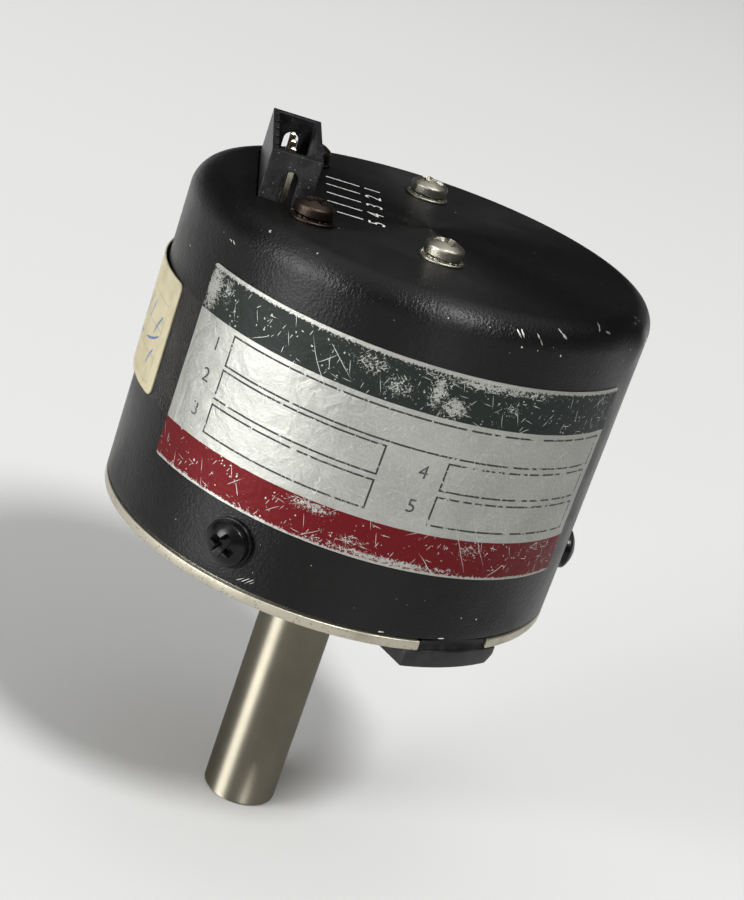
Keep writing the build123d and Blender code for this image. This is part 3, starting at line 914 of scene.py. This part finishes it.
def skinPoint(angle, z, lift):
    # point on the can's outer skin at a height; above the shoulder's start it follows its round
    shoulder = can["shoulder"]
    radius, normal = canRadius, (1.0, 0.0)
    if z > canTop - shoulder:
        rise = min((z - (canTop - shoulder)) / shoulder, 1.0)
        normal = (math.sqrt(max(0.0, 1 - rise * rise)), rise)
        radius = canRadius - shoulder + shoulder * normal[0]
    point = knocked(wallPoint(radius, angle, min(z, canTop)))
    return point + wallPoint(normal[0] * lift, angle, normal[1] * lift)


def buildNicks():
    dice = random.Random(nicks["seed"])
    verts, faces = [], []

    def chip(startAngle, startZ, endAngle, endZ, width):
        steps, blunt, wander = nicks["steps"], nicks["blunt"], nicks["wander"]
        rowStart = len(verts)
        ax = Vector(((endAngle - startAngle) * math.radians(1) * canRadius, endZ - startZ))
        side = Vector((-ax.y, ax.x)).normalized()
        for k in range(steps + 1):
            t = k / steps
            bow = math.sin(math.pi * min(max(t, blunt), 1 - blunt)) ** 0.6
            fat = width / 2 * bow * dice.uniform(*nicks["ragged"])
            for sign in (-1, 0, 1):
                x = sign * side.x * fat + dice.uniform(-wander, wander)
                z = startZ + (endZ - startZ) * t + sign * side.y * fat
                angle = startAngle + (endAngle - startAngle) * t + math.degrees(x / canRadius)
                verts.append(skinPoint(angle, z, nicks["lift"]))
        for k in range(steps):
            for j in (0, 1):
                a = rowStart + 3 * k + j
                faces.append((a, a + 1, a + 4, a + 3))

    for row in nicks["long"]:
        chip(*row)
    for _ in range(nicks["specks"]):
        angle = dice.uniform(-180, 180)
        band = "upperBand" if dice.random() < nicks["upperShare"] else "lowerBand"
        z = dice.uniform(*nicks[band])
        size = dice.uniform(*nicks["speckSize"])
        chip(angle, z, angle + size * dice.uniform(0.5, 1.6), z + size * dice.uniform(-1, 1), size)
    finishPiece("bareNicks", meshOf("bareNicks", verts, faces), bareMetal, sharp=80)


buildNicks()


# Nameplate

label = {
    "width": 76.2,
    "height": 32.0,
    "middle": 29.2,
    "angle": 0.8,
    "tilt": 0.93,
    "thickness": 0.13,
    "corner": 0.7,
    "spacing": 0.6,
    "crease": 0.05,
    # across, up, half width, half height and depth of the small knock in the foil
    "knock": (24.5, 4.6, 2.2, 1.2, 0.05),
}


def labelPoint(across, up, lift):
    turn = math.radians(label["tilt"])
    round_ = across * math.cos(turn) + up * math.sin(turn)
    rise = up * math.cos(turn) - across * math.sin(turn)
    angle = label["angle"] + math.degrees(round_ / canRadius)
    return wallPoint(canRadius + lift, angle, label["middle"] + rise)


def buildSheet(name, upEnds, acrossEnds, place, thickness, slot, replaced, corner, spacing):
    # a thin sheet: place(across, up, lift) gives the point, and the flat map holds across and up
    (low, high), (left, right) = upEnds, acrossEnds
    acrossRows = rows(left, right, spacing)
    upRows = rows(low, high, spacing)
    verts, uvs, faces = [], [], []

    def rounded(x, y):
        cx = max(left + corner - x, x - right + corner, 0)
        cy = max(low + corner - y, y - high + corner, 0)
        if corner and cx > 0 and cy > 0:
            reach = math.hypot(cx, cy)
            limit = corner / max(reach, 1e-6) if reach > corner else 1.0
            x = x - math.copysign(cx * (1 - limit), x)
            y = y - math.copysign(cy * (1 - limit), y - (low + high) / 2)
        return x, y

    for lift in (thickness, 0.0):
        for y in upRows:
            for x in acrossRows:
                px, py = rounded(x, y)
                verts.append(place(px, py, lift))
                uvs.append((px, py))
    count = len(acrossRows)
    layer = count * len(upRows)
    for j in range(len(upRows) - 1):
        for i in range(count - 1):
            a = j * count + i
            faces.append((a, a + 1, a + count + 1, a + count))
            faces.append((layer + a + count, layer + a + count + 1, layer + a + 1, layer + a))
    rim = list(range(count))
    rim += [j * count + count - 1 for j in range(1, len(upRows))]
    rim += [(len(upRows) - 1) * count + i for i in range(count - 2, -1, -1)]
    rim += [j * count for j in range(len(upRows) - 2, 0, -1)]
    for a, b in zip(rim, rim[1:] + rim[:1]):
        faces.append((b, a, layer + a, layer + b))
    mesh = meshOf(name, verts, faces)
    flatMap = mesh.uv_layers.new(name="flat")
    for loop in mesh.loops:
        flatMap.data[loop.index].uv = uvs[loop.vertex_index]
    finishPiece(name, mesh, materials[slot], (replaced,), 50)


def nameplatePoint(across, up, lift):
    crease = 0.0
    if lift > 0:
        crease = label["crease"] * noise.noise(Vector((across * 0.35, up * 0.35, 3.0)))
        knockAcross, knockUp, halfWidth, halfHeight, depth = label["knock"]
        away = math.hypot((across - knockAcross) / halfWidth, (up - knockUp) / halfHeight)
        crease -= depth * math.exp(-away * away)
    return labelPoint(across, up, lift + min(crease, 0.02))


halfUp, halfAcross = label["height"] / 2, label["width"] / 2
buildSheet("nameplateFoil", (-halfUp, halfUp), (-halfAcross, halfAcross), nameplatePoint, label["thickness"],
           "foil", "nameplate", label["corner"], label["spacing"])
print("nameplate ready")


captions = {
    "height": 2.3,
    "lift": 0.02,
    # across and up, beside each ruled box
    "places": [(-32.4, 5.2), (-32.6, 0.0), (-32.6, -5.6), (4.6, -0.1), (4.6, -5.7)],
}
textSize = 1.35    # of a figure's height


def numberPiece(name, number, height, matrix, material, bend=lambda point: point):
    curve = bpy.data.curves.new(name, "FONT")
    curve.body = str(number)
    curve.size = height * textSize
    curve.align_x = "CENTER"
    curve.align_y = "CENTER"
    mesh = finalMesh(linked("figure", curve))
    for vert in mesh.vertices:
        vert.co = bend(matrix @ vert.co) * mm
    finishPiece(name, mesh, material)


blackPrint = makeEven("blackPrint", plate["ink"], (0.10, 0.10, 0.10))
for k, (across, up) in enumerate(captions["places"], 1):
    numberPiece(f"plateNumber{k}", k, captions["height"], Matrix.Translation((across, up, 0)),
                blackPrint, lambda p: labelPoint(p.x, p.y, label["thickness"] + captions["lift"]))


# Paper sticker and the clear tape over it

side = {
    # angles of the sticker's ends
    "start": -67.0,
    "end": -125.0,
    "low": 20.0,
    "height": 18.8,
    "paper": 0.2,
    "corner": 1.2,
    "lift": 0.55,
    "tape": 0.065,
    "slack": 0.95,
    "fullness": 0.8,
    # degrees of tape past the sticker's far end, and its gap to the nameplate
    "overhang": 2.5,
    "gap": 0.2,
    # how far the tape stands off the paper and off the wall
    "overPaper": 0.04,
    "overWall": 0.02,
    "spacing": 0.7,
}


def standOff(angle):
    # how far the sheet stands off the wall: nothing at its ends, most in the middle
    t = (angle - side["end"]) / (side["start"] - side["end"])
    return side["slack"] * side["lift"] * math.sin(math.pi * min(max(t, 0.0), 1.0)) ** side["fullness"]


def sideAngle(across):
    # across runs from the sticker's right edge (0) to the left, negative, in millimetres
    return side["start"] + math.degrees(across / canRadius)


def stickerPoint(across, up, lift):
    angle = sideAngle(across)
    return wallPoint(canRadius + standOff(angle) + lift, angle, side["low"] + up)


def tapePoint(across, up, lift):
    onPaper = side["end"] < sideAngle(across) < side["start"]
    base = side["paper"] + side["overPaper"] if onPaper else side["overWall"]
    return stickerPoint(across, up, lift + base)


stickerSpan = math.radians(side["start"] - side["end"]) * canRadius
buildSheet("paperLabel", (0, side["height"]), (-stickerSpan, 0), stickerPoint, side["paper"], "paper",
           "paper_sticker", side["corner"], side["spacing"])


strokes = {
    "width": 0.42,
    "taper": 0.45,
    "lift": 0.015,
    # each stroke runs through (across, up) points on the paper
    "paths": [[(-3.0, 12.0), (-4.4, 10.6), (-5.2, 8.6)], [(-2.6, 9.0), (-5.0, 7.4), (-8.2, 6.9)],
              [(-3.4, 6.4), (-4.6, 5.2), (-5.0, 3.6)], [(-8.0, 13.0), (-9.0, 11.5), (-9.4, 9.8)],
              [(-12.0, 12.4), (-13.5, 10.6), (-14.0, 8.4)], [(-11.5, 6.4), (-14.5, 5.4), (-17.5, 5.2)]],
    "steps": 12,
}


def buildStrokes():
    verts, faces = [], []
    steps, taper = strokes["steps"], strokes["taper"]
    for path in strokes["paths"]:
        a, b, c = (Vector(p) for p in path)
        parts = [k / steps for k in range(steps + 1)]
        points = [a * (1 - t) ** 2 + b * 2 * t * (1 - t) + c * t * t for t in parts]
        start = len(verts)
        for k, point in enumerate(points):
            way = (points[min(k + 1, steps)] - points[max(k - 1, 0)]).normalized()
            half = strokes["width"] / 2 * (1 - taper + taper * math.sin(math.pi * k / steps))
            for sign in (-1, 1):
                spot = point + Vector((-way.y, way.x)) * half * sign
                verts.append(stickerPoint(spot.x, spot.y, side["paper"] + strokes["lift"]))
        faces += [(i, i + 1, i + 3, i + 2) for i in range(start, start + 2 * steps, 2)]
    bluePen = makeEven("bluePen", (0.06, 0.10, 0.28), (0.16, 0.20, 0.36))
    finishPiece("penStrokes", meshOf("penStrokes", verts, faces), bluePen)


buildStrokes()
labelEdge = label["angle"] - math.degrees((label["width"] / 2 + side["gap"]) / canRadius)
tapeRight = math.radians(labelEdge - side["start"]) * canRadius
tapeLeft = -stickerSpan - math.radians(side["overhang"]) * canRadius
buildSheet("clearTape", (0, side["height"]), (tapeLeft, tapeRight), tapePoint, side["tape"], "clear_film",
           "clear_tape", 0.0, side["spacing"])
print("sticker and tape ready")


# Inlet tube

tube = {
    "radius": 6.35,
    "wall": 0.9,
    "chamfer": 0.5,
    "softEdge": 0.07,
    "softEnd": 0.12,
    "spigotRadius": 6.05,
    "segments": 160,
}


def buildTube():
    radius, chamfer, soft = tube["radius"], tube["chamfer"], tube["softEnd"]
    bore = radius - tube["wall"]
    profile = [(bore + soft, tubeFoot), (radius - chamfer, tubeFoot),
               (radius - tube["softEdge"], tubeFoot + chamfer - tube["softEdge"])]
    profile += [(radius, z) for z in rows(tubeFoot + chamfer + soft, 0, 3.0)]
    profile += [(tube["spigotRadius"], 0), (tube["spigotRadius"], tubeHigh.z)]
    profile += [(bore, z) for z in rows(tubeHigh.z, tubeFoot + soft, 6.0)]
    verts, faces = lathe(profile, tube["segments"], closed=True)
    mesh = meshOf("inletTube", verts, faces)
    finishPiece("inletTube", mesh, materials["tube_steel"], ("inlet_tube",), 25)


buildTube()
print("tube ready")


# Screws: a pan head with a cross recess on a plain shank

screwSizes = {
    "shank": 3.5,
    "shankChamfer": 0.3,
    "recess": 4.2,
    "slot": 1.35,
    "depth": 1.7,
    "flare": 0.22,
    # size of the recess at its bottom, as shares of its length and of its slot
    "bottom": (0.5, 0.6),
    # width, height and crown of the heads
    "lidHead": (6.2, 2.6, 0.85),
    "sideHead": (6.9, 2.3, 1.0),
    "underRound": 0.15,
    "edgeRound": 0.6,
    "edgeTurn": 62,
    "crownSteps": 12,
    "crownCurve": 2.2,
    "sideGrip": 4.2,
    "sideSeat": 0.8,
    "segments": 72,
}


def crossOutline(reach, half, z):
    points = []
    for turn in range(4):
        spin = Matrix.Rotation(math.radians(90 * turn), 4, "Z")
        points += [spin @ Vector((x, y, z)) for x, y in ((reach, half), (half, half), (half, reach))]
    return points


def crossCutter(height):
    # tapered cross with twelve corners, narrower at the bottom and flared at the mouth
    reach, half = screwSizes["recess"] / 2, screwSizes["slot"] / 2
    flare = 2 * screwSizes["flare"]
    deepReach, deepHalf = screwSizes["bottom"]
    verts = crossOutline(reach * deepReach, half * deepHalf, height - screwSizes["depth"])
    verts += crossOutline(reach, half, height - flare)
    verts += crossOutline(reach + flare, half + flare, height)
    n = len(verts) // 3
    faces = [list(range(n))[::-1], list(range(2 * n, 3 * n))]
    faces += [(j + k, j + (k + 1) % n, j + n + (k + 1) % n, j + n + k) for j in (0, n) for k in range(n)]
    return verts, faces


def screwMesh(head, grip):
    diameter, height, crown = head
    edge, shank, chamfer = diameter / 2, screwSizes["shank"] / 2, screwSizes["shankChamfer"]
    under, soft, steps = screwSizes["underRound"], screwSizes["edgeRound"], screwSizes["crownSteps"]
    profile = [(0, -grip), (shank - chamfer, -grip), (shank, -grip + chamfer), (shank, 0), (edge - under, 0),
               (edge, under)]
    profile += arcPoints((edge - soft, height - crown - soft), soft, 0, screwSizes["edgeTurn"], 5)
    startRadius, startHeight = profile[-1]
    # the crown: a flat arc from the rim up to the middle
    for k in range(1, steps + 1):
        t = k / steps
        rise = 1 - (1 - t) ** screwSizes["crownCurve"]
        profile.append((startRadius * (1 - t), startHeight + (height - startHeight) * rise))
    return cutFrom(meshOf("screw", *lathe(profile, screwSizes["segments"])), [crossCutter(height)])


def placeScrews(name, node, washerBoxes, head, slot, turns):
    whole = bmesh.new()
    for washer, solid, turn in zip(washerBoxes, solidBoxes(node), turns):
        spot = middle(washer)
        if spot.z < canTop - 1:
            lay = onWall(spot, screwSizes["sideSeat"])
            grip = screwSizes["sideGrip"]
        else:
            lay = Matrix.Translation((spot.x, spot.y, washer[1].z))
            grip = washer[1].z - solid[0].z
        mesh = screwMesh(head, grip)
        mesh.transform(Matrix.Scale(mm, 4) @ lay @ Matrix.Rotation(math.radians(turn), 4, "Z")
                       @ Matrix.Scale(1 / mm, 4))
        whole.from_mesh(mesh)
    result = bpy.data.meshes.new(name)
    whole.to_mesh(result)
    whole.free()
    finishPiece(name, result, materials[slot], (node,), 40)


lidHead, sideHead = screwSizes["lidHead"], screwSizes["sideHead"]
placeScrews("lidScrewPair", "lid_screws", lidScrewBoxes, lidHead, "bright_screws", (24, 62))
placeScrews("boardScrewPair", "board_screws", boardScrewBoxes, lidHead, "bronze_screws", (35, 10))
placeScrews("sideScrewSet", "side_screws", sideScrewBoxes, sideHead, "black_screws", (46, 68, 33))


# Washers under the screws on the lid: a flat one and a toothed one on it

lidWasher = {
    "flat": 0.45,
    "hole": 3.8,
    "round": 0.12,
    "segments": 72,
    "teeth": 18,
    "toothSteps": 6,
    "toothEdge": 3.3,
    "toothRoot": 2.95,
    "twist": 0.12,
}


def washerStack(low, high):
    edge, bore = (high.x - low.x) / 2, lidWasher["hole"] / 2
    flat, soft = lidWasher["flat"], lidWasher["round"]
    profile = [(bore, 0), (edge - soft, 0), (edge, soft), (edge, flat - soft), (edge - soft, flat),
               (bore, flat)]
    verts, faces = lathe(profile, lidWasher["segments"], closed=True)
    steps = lidWasher["toothSteps"] * lidWasher["teeth"]
    start, top, twist = len(verts), high.z - low.z, lidWasher["twist"]
    for k in range(steps):
        part = (k % lidWasher["toothSteps"]) / lidWasher["toothSteps"]
        outer, lift = (lidWasher["toothEdge"], twist * part) if part < 0.5 else (lidWasher["toothRoot"], 0)
        angle = 360 * k / steps
        verts += [wallPoint(bore, angle, flat), wallPoint(outer, angle, flat + lift),
                  wallPoint(outer, angle, top - twist + lift), wallPoint(bore, angle, top)]
    for k in range(steps):
        a, b = start + 4 * k, start + 4 * ((k + 1) % steps)
        faces += [(a + j, b + j, b + (j + 1) % 4, a + (j + 1) % 4) for j in range(4)]
    spot = (low + high) / 2
    return [Vector(v) + Vector((spot.x, spot.y, low.z)) for v in verts], faces


for name, node in (("lidWasherPair", "lid_washers"), ("boardWasherPair", "board_screw_washers")):
    slot = nodeSlots[node]
    mesh = meshOf(name, *joined([washerStack(low, high) for low, high in solidBoxes(node)]))
    finishPiece(name, mesh, materials[slot], (node,), 30)
print("screws ready")


# Small edge rounds on five of the solids that stay

edgeRounds = {
    "base_plate": 0.18,
    "notch_plug": 0.35,
    "header_shroud": 0.12,
    "header_contacts": 0.08,
    "side_washers": 0.12,
}
for name, width in edgeRounds.items():
    node = frame["nodes"][name]
    weld = node.modifiers.new("weld", "WELD")
    weld.merge_threshold = 1e-6
    soften = node.modifiers.new("soften", "BEVEL")
    soften.width = width * mm
    soften.segments = 3
    soften.limit_method = "ANGLE"
    soften.angle_limit = math.radians(35)


# Print on the lid: five leader lines with plain numbers

lidPrint = {
    "lift": 0.03,
    "left": -17.1,
    "right": -11.4,
    "rows": [12.8, 8.1, 2.85, -2.3, -7.25],
    "lastShorter": 1.5,
    "line": 0.42,
    "numberHeight": 2.9,
    "numberGap": 0.9,
}


def buildLidPrint():
    verts, faces = [], []
    z, right, half = canTop + lidPrint["lift"], lidPrint["right"], lidPrint["line"] / 2
    for k, y in enumerate(lidPrint["rows"]):
        last = k == len(lidPrint["rows"]) - 1
        left = lidPrint["left"] + (lidPrint["lastShorter"] if last else 0.0)
        faces.append(range(len(verts), len(verts) + 4))
        verts += [(left, y - half, z), (right, y - half, z), (right, y + half, z), (left, y + half, z)]
    finishPiece("lidLeaderLines", meshOf("lidLeaderLines", verts, faces), whitePrint)
    x = right + lidPrint["numberGap"] + lidPrint["numberHeight"] / 2
    for k, y in enumerate(lidPrint["rows"], 1):
        lay = Matrix.Translation((x, y, z)) @ Matrix.Rotation(math.radians(90), 4, "Z")
        numberPiece(f"lidNumber{k}", k, lidPrint["numberHeight"], lay, whitePrint)


buildLidPrint()
print("lid print ready")


# Floor, light and camera

studio = {
    "floorColour": (0.55, 0.55, 0.545),
    "floorSize": 8.0,
    # world brightness by the height of the direction: horizon and below, sides, overhead
    "sky": [(0.0, 0.30), (0.05, 0.03), (0.62, 0.03), (0.80, 0.92), (1.0, 1.0)],
    # azimuth from the nameplate's side towards +X, elevation, distance, size, power
    "key": (-58, 12, 6.0, 3.4, 530.0),
    "top": (27, 56, 6.0, 1.2, 325.0),
}


def buildFloor():
    half, z = studio["floorSize"] / mm, tubeFoot
    corners = [(-half, -half, z), (half, -half, z), (half, half, z), (-half, half, z)]
    mesh = meshOf("floor", corners, [(0, 1, 2, 3)])
    material, _ = newMaterial("paleFloor", colour=studio["floorColour"], roughness=0.9, specular=0.0)
    mesh.materials.append(material)
    linked("floor", mesh)


def buildWorld():
    world = bpy.data.worlds.new("studio")
    scene.world = world
    world.use_nodes = True
    tree = world.node_tree
    height = partsOf(put("ShaderNodeTexCoord", tree=tree, out="Generated"))["Z"]
    bands = put("ShaderNodeValToRGB", height)
    stops = bands.node.color_ramp.elements
    while len(stops) < len(studio["sky"]):
        stops.new(1.0)
    for stop, (place, level) in zip(stops, studio["sky"]):
        stop.position = place
        stop.color = (level, level, level, 1)
    feed(tree.nodes["Background"].inputs["Color"], bands)


def addLamp(name, azimuth, elevation, distance, size, power):
    rise = math.radians(elevation)
    spot = wallPoint(math.cos(rise), azimuth, math.sin(rise)) * distance
    lamp = bpy.data.lights.new(name, "AREA")
    lamp.shape = "DISK"
    lamp.size = size
    lamp.energy = power
    holder = linked(name, lamp)
    holder.location = spot
    holder.rotation_euler = (-spot).to_track_quat("-Z", "Y").to_euler()


view = {
    "place": (-46.3, -310.3, 131.8),
    "turn": -9.0,
    "tilt": 69.78,
    "roll": 19.17,
    "lens": 81.27,
    "sensor": 36,
}


def addCamera():
    camera = bpy.data.cameras.new("camera")
    camera.lens = view["lens"]
    camera.sensor_width = view["sensor"]
    camera.sensor_height = view["sensor"]
    holder = linked("camera", camera)
    holder.matrix_world = Matrix.Translation(Vector(view["place"]) * mm)
    for angle, axis in ((view["turn"], "Z"), (view["tilt"], "X"), (view["roll"], "Z")):
        holder.matrix_world = holder.matrix_world @ Matrix.Rotation(math.radians(angle), 4, axis)
    scene.camera = holder


buildFloor()
buildWorld()
addLamp("keyLamp", *studio["key"])
addLamp("topLamp", *studio["top"])
addCamera()
print("studio ready")
